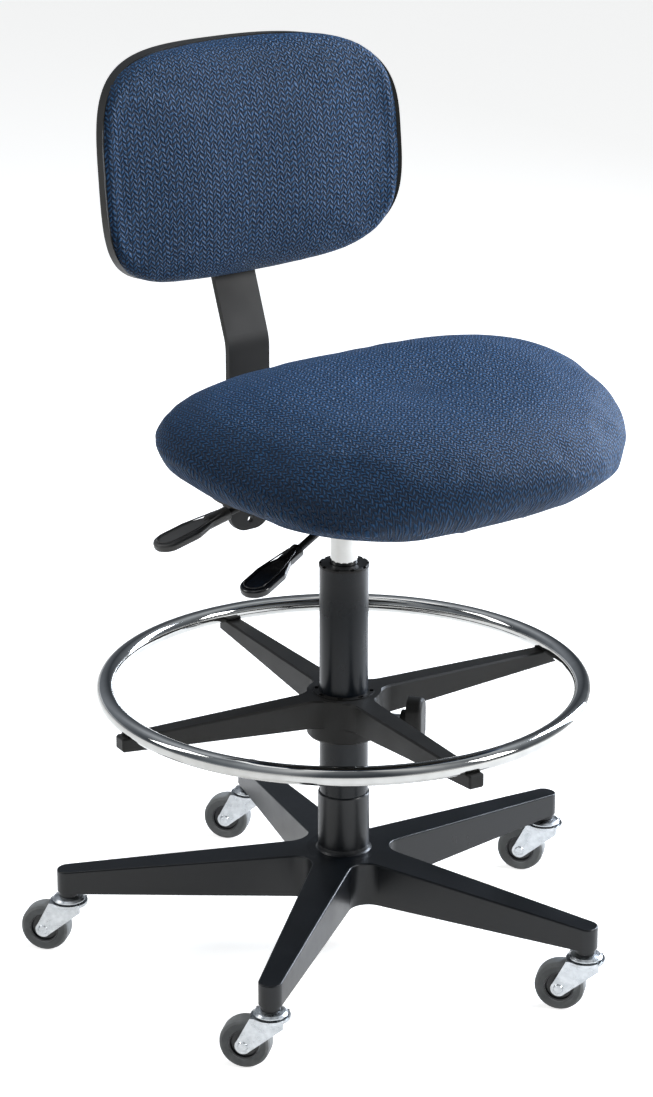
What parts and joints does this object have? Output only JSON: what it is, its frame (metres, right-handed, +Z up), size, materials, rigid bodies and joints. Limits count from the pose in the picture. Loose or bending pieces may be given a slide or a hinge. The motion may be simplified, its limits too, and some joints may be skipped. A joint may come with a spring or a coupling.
{
  "type": "drafting chair",
  "caption": "Upholstered swivel seat and backrest on a tall gas column with a round foot ring and a five-armed castor base.",
  "frame": {"origin": "on the floor under the column's axis", "axes": "+Z up; the sitter looks along -Y, and the sitter's right is -X"},
  "size_m": [0.5828, 0.607, 0.9227],
  "materials": {
    "black_cast": "satin black powder coat on the cast star",
    "black_tube": "semi-gloss black paint on the column tube",
    "chrome": "bright polished chrome plate",
    "zinc": "bright zinc plate",
    "black_moulding": "fine-textured glass-filled nylon",
    "lever_plastic": "satin moulded plastic",
    "gloss_lever": "glossier moulded plastic",
    "dark_steel": "satin dark paint on steel",
    "tread_grey": "grey non-marking rubber",
    "hub_nylon": "dark nylon",
    "navy_fabric": "navy woven upholstery with a short zigzag weave",
    "plywood": "moulded ply inner board",
    "black_rubber": "matt rubber"
  },
  "bodies": {
    "base": {"base_star": "black_cast", "column_tube": "black_tube", "guide_bush": "black_moulding", "thrust_bearing": "zinc", "castor_1_stem": "zinc", "castor_2_stem": "zinc", "castor_3_stem": "zinc", "castor_4_stem": "zinc", "castor_5_stem": "zinc"},
    "lift_rod": {"piston_rod": "chrome", "retaining_clip": "zinc", "rubber_buffer": "black_rubber"},
    "seat": {"gas_cylinder": "chrome", "mechanism_housing": "dark_steel", "taper_socket": "dark_steel", "lever_yokes": "dark_steel", "lever_pins": "zinc", "back_pivot_pin": "zinc", "seat_bolts": "zinc", "arm_inserts": "zinc", "seat_pan": "black_moulding", "seat_cushion": "navy_fabric"},
    "valve": {"valve_button": "black_moulding"},
    "height_lever": {"height_lever_rod": "dark_steel", "height_lever_paddle": "lever_plastic"},
    "tilt_lever": {"tilt_lever_rod": "dark_steel", "tilt_lever_paddle": "gloss_lever"},
    "back_bracket": {"back_bracket": "dark_steel", "bar_sleeve": "dark_steel"},
    "backrest": {"upright_bar": "dark_steel", "back_panel": "plywood", "back_shell": "black_moulding", "back_cushion": "navy_fabric"},
    "foot_clamp": {"foot_insert": "black_moulding"},
    "foot_ring": {"foot_spider": "black_moulding", "foot_ring_tube": "chrome", "ring_screws": "zinc"},
    "knob": {"knob_grip": "black_moulding", "knob_screw": "zinc"},
    "castor_fork_1": {"castor_1_fork": "zinc", "castor_1_axle": "zinc"},
    "castor_wheel_1": {"castor_1_hub": "hub_nylon", "castor_1_tread": "tread_grey"},
    "castor_fork_2": {"castor_2_fork": "zinc", "castor_2_axle": "zinc"},
    "castor_wheel_2": {"castor_2_hub": "hub_nylon", "castor_2_tread": "tread_grey"},
    "castor_fork_3": {"castor_3_fork": "zinc", "castor_3_axle": "zinc"},
    "castor_wheel_3": {"castor_3_hub": "hub_nylon", "castor_3_tread": "tread_grey"},
    "castor_fork_4": {"castor_4_fork": "zinc", "castor_4_axle": "zinc"},
    "castor_wheel_4": {"castor_4_hub": "hub_nylon", "castor_4_tread": "tread_grey"},
    "castor_fork_5": {"castor_5_fork": "zinc", "castor_5_axle": "zinc"},
    "castor_wheel_5": {"castor_5_hub": "hub_nylon", "castor_5_tread": "tread_grey"}
  },
  "joints": [
    {"name": "seat_swivel", "type": "hinge", "parent": "base", "child": "lift_rod", "pos_m": [0, 0, 0.068], "axis": [0, 0, 1], "continuous": true},
    {"name": "seat_height", "type": "slide", "parent": "lift_rod", "child": "seat", "axis": [0, 0, 1], "range_m": [-0.03, 0.17]},
    {"name": "height_lever_lift", "type": "hinge", "parent": "seat", "child": "height_lever", "pos_m": [-0.024, 0, 0.5102], "axis": [0, 1, 0], "range_deg": [0, 7], "stiffness_Nm_per_rad": 2, "springref_deg": -11.46},
    {"name": "valve_press", "type": "slide", "parent": "seat", "child": "valve", "axis": [0, 0, -1], "range_m": [0, 0.003]},
    {"name": "tilt_lever_lift", "type": "hinge", "parent": "seat", "child": "tilt_lever", "pos_m": [-0.03431, -0.08452, 0.5102], "axis": [-0.342, 0.9397, 0], "range_deg": [0, 7], "stiffness_Nm_per_rad": 2, "springref_deg": -11.46},
    {"name": "back_recline", "type": "hinge", "parent": "seat", "child": "back_bracket", "pos_m": [0, 0.044, 0.5085], "axis": [-1, 0, 0], "range_deg": [-10, 15]},
    {"name": "back_height", "type": "slide", "parent": "back_bracket", "child": "backrest", "axis": [0, 0, 1], "range_m": [-0.015, 0.05]},
    {"name": "foot_ring_height", "type": "slide", "parent": "base", "child": "foot_clamp", "axis": [0, 0, 1], "range_m": [-0.06, 0.045]},
    {"name": "foot_ring_turn", "type": "hinge", "parent": "foot_clamp", "child": "foot_ring", "pos_m": [0, 0, 0.26], "axis": [0, 0, 1], "continuous": true},
    {"name": "knob_turn", "type": "hinge", "parent": "foot_ring", "child": "knob", "pos_m": [0, 0, 0.258], "axis": [0.6115, -0.7912, 0], "range_deg": [0, 540]},
    {"name": "castor_swivel_1", "type": "hinge", "parent": "base", "child": "castor_fork_1", "pos_m": [0.28523, 0.01245, 0.05], "axis": [0, 0, 1], "continuous": true},
    {"name": "castor_roll_1", "type": "hinge", "parent": "castor_fork_1", "child": "castor_wheel_1", "pos_m": [0.26948, 0.03122, 0.0254], "axis": [-0.766, -0.6428, 0], "continuous": true},
    {"name": "castor_swivel_2", "type": "hinge", "parent": "base", "child": "castor_fork_2", "pos_m": [0.0763, 0.27512, 0.05], "axis": [0, 0, 1], "continuous": true},
    {"name": "castor_roll_2", "type": "hinge", "parent": "castor_fork_2", "child": "castor_wheel_2", "pos_m": [0.06055, 0.29388, 0.0254], "axis": [-0.766, -0.6428, 0], "continuous": true},
    {"name": "castor_swivel_3", "type": "hinge", "parent": "base", "child": "castor_fork_3", "pos_m": [-0.23807, 0.15758, 0.05], "axis": [0, 0, 1], "continuous": true},
    {"name": "castor_roll_3", "type": "hinge", "parent": "castor_fork_3", "child": "castor_wheel_3", "pos_m": [-0.25382, 0.17635, 0.0254], "axis": [-0.766, -0.6428, 0], "continuous": true},
    {"name": "castor_swivel_4", "type": "hinge", "parent": "base", "child": "castor_fork_4", "pos_m": [-0.22343, -0.17773, 0.05], "axis": [0, 0, 1], "continuous": true},
    {"name": "castor_roll_4", "type": "hinge", "parent": "castor_fork_4", "child": "castor_wheel_4", "pos_m": [-0.23918, -0.15896, 0.0254], "axis": [-0.766, -0.6428, 0], "continuous": true},
    {"name": "castor_swivel_5", "type": "hinge", "parent": "base", "child": "castor_fork_5", "pos_m": [0.09998, -0.26742, 0.05], "axis": [0, 0, 1], "continuous": true},
    {"name": "castor_roll_5", "type": "hinge", "parent": "castor_fork_5", "child": "castor_wheel_5", "pos_m": [0.08424, -0.24865, 0.0254], "axis": [-0.766, -0.6428, 0], "continuous": true}
  ],
  "couplings": [
    {"joint": "valve_press", "follows": "height_lever_lift", "m_per_rad": 0.024}
  ]
}
